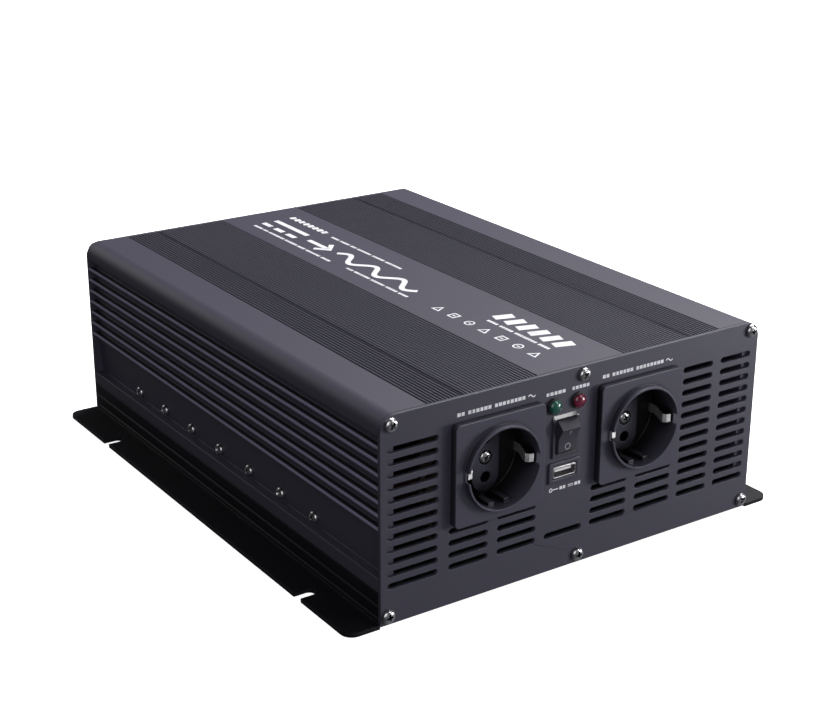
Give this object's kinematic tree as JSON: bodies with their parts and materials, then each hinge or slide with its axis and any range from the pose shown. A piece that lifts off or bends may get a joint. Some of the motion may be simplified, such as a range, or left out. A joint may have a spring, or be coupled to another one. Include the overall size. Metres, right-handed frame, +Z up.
{
  "type": "power inverter",
  "caption": "Box-shaped power inverter in a black finned aluminium case with mounting flanges, two round earthed outlets, rocker switch, USB port, fans and battery studs.",
  "frame": {"origin": "centre of the underside, midway between the end panels and between the flanges", "axes": "+X to the right seen from the front, -Y out of the front panel, +Y towards the battery studs, +Z up"},
  "size_m": [0.253, 0.3375, 0.1],
  "materials": {
    "black_extrusion": "black anodised, satin",
    "black_tray": "black anodised, satin",
    "black_panel": "black powder coat",
    "zinc_screw": "bright zinc plate",
    "outlet_plastic": "black moulded plastic",
    "earth_clip": "nickel plate",
    "brass": "bright",
    "lamp_holder": "black",
    "green_lens": "translucent green epoxy",
    "red_lens": "translucent red epoxy",
    "switch_plastic": "black",
    "rocker_plastic": "fine texture",
    "usb_bezel": "black",
    "usb_steel": "nickel plate",
    "usb_insulator": "white nylon",
    "circuit_board": "green solder mask",
    "component_black": "moulded epoxy",
    "ferrite": "matt ferrite",
    "winding_tape": "yellow polyester tape",
    "copper": "copper",
    "capacitor_sleeve": "dark blue sleeve",
    "fuse_plastic": "green translucent",
    "insulating_pad": "grey silicone",
    "clamp_aluminium": "sawn bar",
    "fan_plastic": "black",
    "guard_steel": "bright chrome",
    "red_terminal": "red",
    "black_terminal": "black",
    "lead_insulation": "coloured cable insulation"
  },
  "bodies": {
    "case": {"top_cover": "black_extrusion", "base_tray": "black_tray", "front_panel": "black_panel", "rear_panel": "black_panel", "front_panel_screws": "zinc_screw", "rear_panel_screws": "zinc_screw", "side_screws_left": "zinc_screw", "side_screws_right": "zinc_screw", "left_outlet_housing": "outlet_plastic", "right_outlet_housing": "outlet_plastic", "left_earth_clips": "earth_clip", "right_earth_clips": "earth_clip", "left_outlet_contacts": "brass", "right_outlet_contacts": "brass", "outlet_centre_screws": "zinc_screw", "lamp_holders": "lamp_holder", "power_lamp": "green_lens", "fault_lamp": "red_lens", "switch_bezel": "switch_plastic", "switch_terminals": "brass", "usb_bezel": "usb_bezel", "usb_shell": "usb_steel", "usb_tongue": "usb_insulator", "usb_board": "circuit_board", "main_board": "circuit_board", "board_standoffs": "zinc_screw", "board_screws": "zinc_screw", "control_board": "circuit_board", "transformer_cores": "ferrite", "transformer_windings": "winding_tape", "output_choke": "copper", "bulk_capacitors": "capacitor_sleeve", "input_capacitors": "capacitor_sleeve", "blade_fuses": "fuse_plastic", "fuse_sockets": "component_black", "buzzer": "component_black", "left_transistors": "component_black", "right_transistors": "component_black", "left_insulating_pad": "insulating_pad", "right_insulating_pad": "insulating_pad", "left_clamp_bar": "clamp_aluminium", "right_clamp_bar": "clamp_aluminium", "left_fan_frame": "fan_plastic", "right_fan_frame": "fan_plastic", "fan_guards": "guard_steel", "fan_screws": "zinc_screw", "positive_terminal_base": "red_terminal", "negative_terminal_base": "black_terminal", "terminal_studs": "brass", "terminal_washers": "zinc_screw", "ground_stud": "zinc_screw", "battery_busbars": "copper", "outlet_leads": "lead_insulation", "fan_leads": "lead_insulation"},
    "rocker": {"power_rocker": "rocker_plastic"},
    "left_rotor": {"left_fan_rotor": "fan_plastic"},
    "right_rotor": {"right_fan_rotor": "fan_plastic"},
    "positive_nut": {"positive_nut": "brass"},
    "negative_nut": {"negative_nut": "brass"},
    "ground_nut": {"ground_nut": "zinc_screw"}
  },
  "joints": [
    {"name": "power_rocker", "type": "hinge", "parent": "case", "child": "rocker", "pos_m": [-0.0099, -0.1485, 0.0686], "axis": [-1, 0, 0], "range_deg": [0, 28]},
    {"name": "left_fan_spin", "type": "hinge", "parent": "case", "child": "left_rotor", "pos_m": [-0.067, 0.139, 0.056], "axis": [0, 1, 0], "continuous": true},
    {"name": "right_fan_spin", "type": "hinge", "parent": "case", "child": "right_rotor", "pos_m": [0.067, 0.139, 0.056], "axis": [0, 1, 0], "continuous": true},
    {"name": "positive_nut_turn", "type": "hinge", "parent": "case", "child": "positive_nut", "pos_m": [-0.019, 0.1656, 0.056], "axis": [0, 1, 0], "continuous": true},
    {"name": "negative_nut_turn", "type": "hinge", "parent": "case", "child": "negative_nut", "pos_m": [0.019, 0.1656, 0.056], "axis": [0, 1, 0], "continuous": true},
    {"name": "ground_nut_turn", "type": "hinge", "parent": "case", "child": "ground_nut", "pos_m": [0, 0.1533, 0.024], "axis": [0, 1, 0], "continuous": true}
  ]
}
